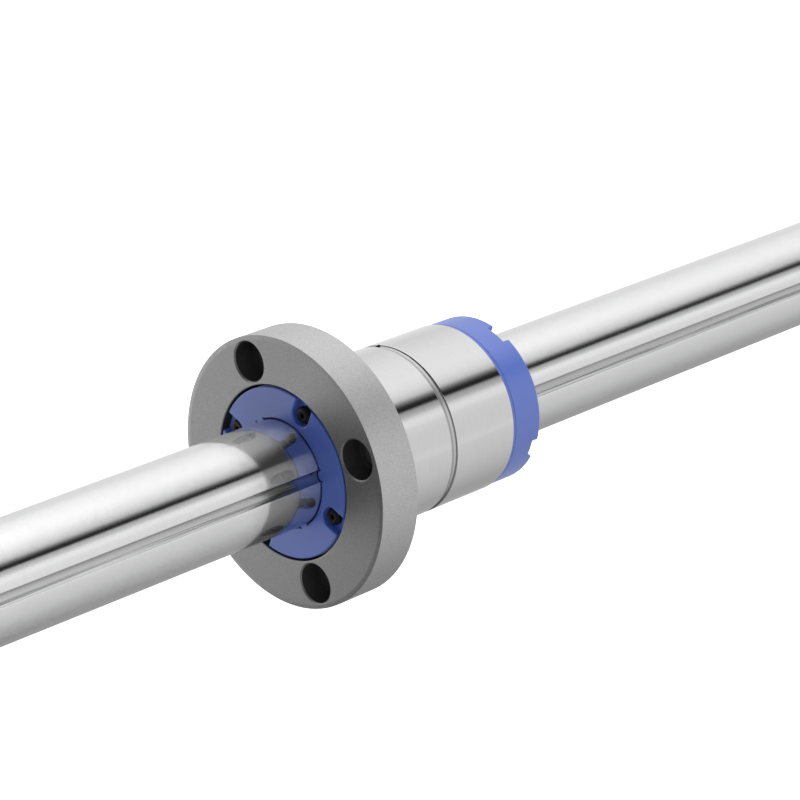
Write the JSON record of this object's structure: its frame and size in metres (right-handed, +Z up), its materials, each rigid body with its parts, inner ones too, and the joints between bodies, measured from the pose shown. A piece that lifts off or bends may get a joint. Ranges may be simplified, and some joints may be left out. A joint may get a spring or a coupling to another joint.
{
  "type": "ball spline shaft",
  "caption": "Flanged ball spline nut with bolted end caps, sliding on a round ground shaft with lengthwise ball grooves that carry torque.",
  "frame": {"origin": "centre of the flange's seating face, on the shaft's axis, where the round body enters its housing", "axes": "+X along the shaft from the flange towards the nut's rear cap, +Z up, with two of the cap screws on the horizontal and the flange holes on the 45 degree lines"},
  "size_m": [0.4, 0.0754, 0.0754],
  "materials": {
    "shaft_steel": "hardened steel, ground bright along its length, with fine grinding lines",
    "nut_steel": "steel; round body ground bright, flange left matte grey with a fine grain",
    "cap_plastic": "moulded blue plastic, satin, with softened edges",
    "seal_rubber": "black rubber",
    "retainer_plastic": "natural moulded plastic",
    "screw_black": "steel with a black oxide finish",
    "ball_steel": "polished bearing steel"
  },
  "bodies": {
    "nut": {"nut_body": "nut_steel", "ball_retainer": "retainer_plastic", "front_return_plate": "cap_plastic", "front_end_cap": "cap_plastic", "front_wiper_seal": "seal_rubber", "rear_return_plate": "cap_plastic", "rear_end_cap": "cap_plastic", "rear_wiper_seal": "seal_rubber", "front_cap_screw_1": "screw_black", "front_cap_screw_2": "screw_black", "front_cap_screw_3": "screw_black", "front_cap_screw_4": "screw_black", "rear_cap_screw_1": "screw_black", "rear_cap_screw_2": "screw_black", "rear_cap_screw_3": "screw_black", "rear_cap_screw_4": "screw_black", "ball_circuit_1": "ball_steel", "ball_circuit_2": "ball_steel", "ball_circuit_3": "ball_steel", "ball_circuit_4": "ball_steel"},
    "shaft": {"spline_shaft": "shaft_steel"}
  },
  "joints": [
    {"name": "shaft_slide", "type": "slide", "parent": "nut", "child": "shaft", "axis": [1, 0, 0], "range_m": [-0.175, 0.13]}
  ]
}
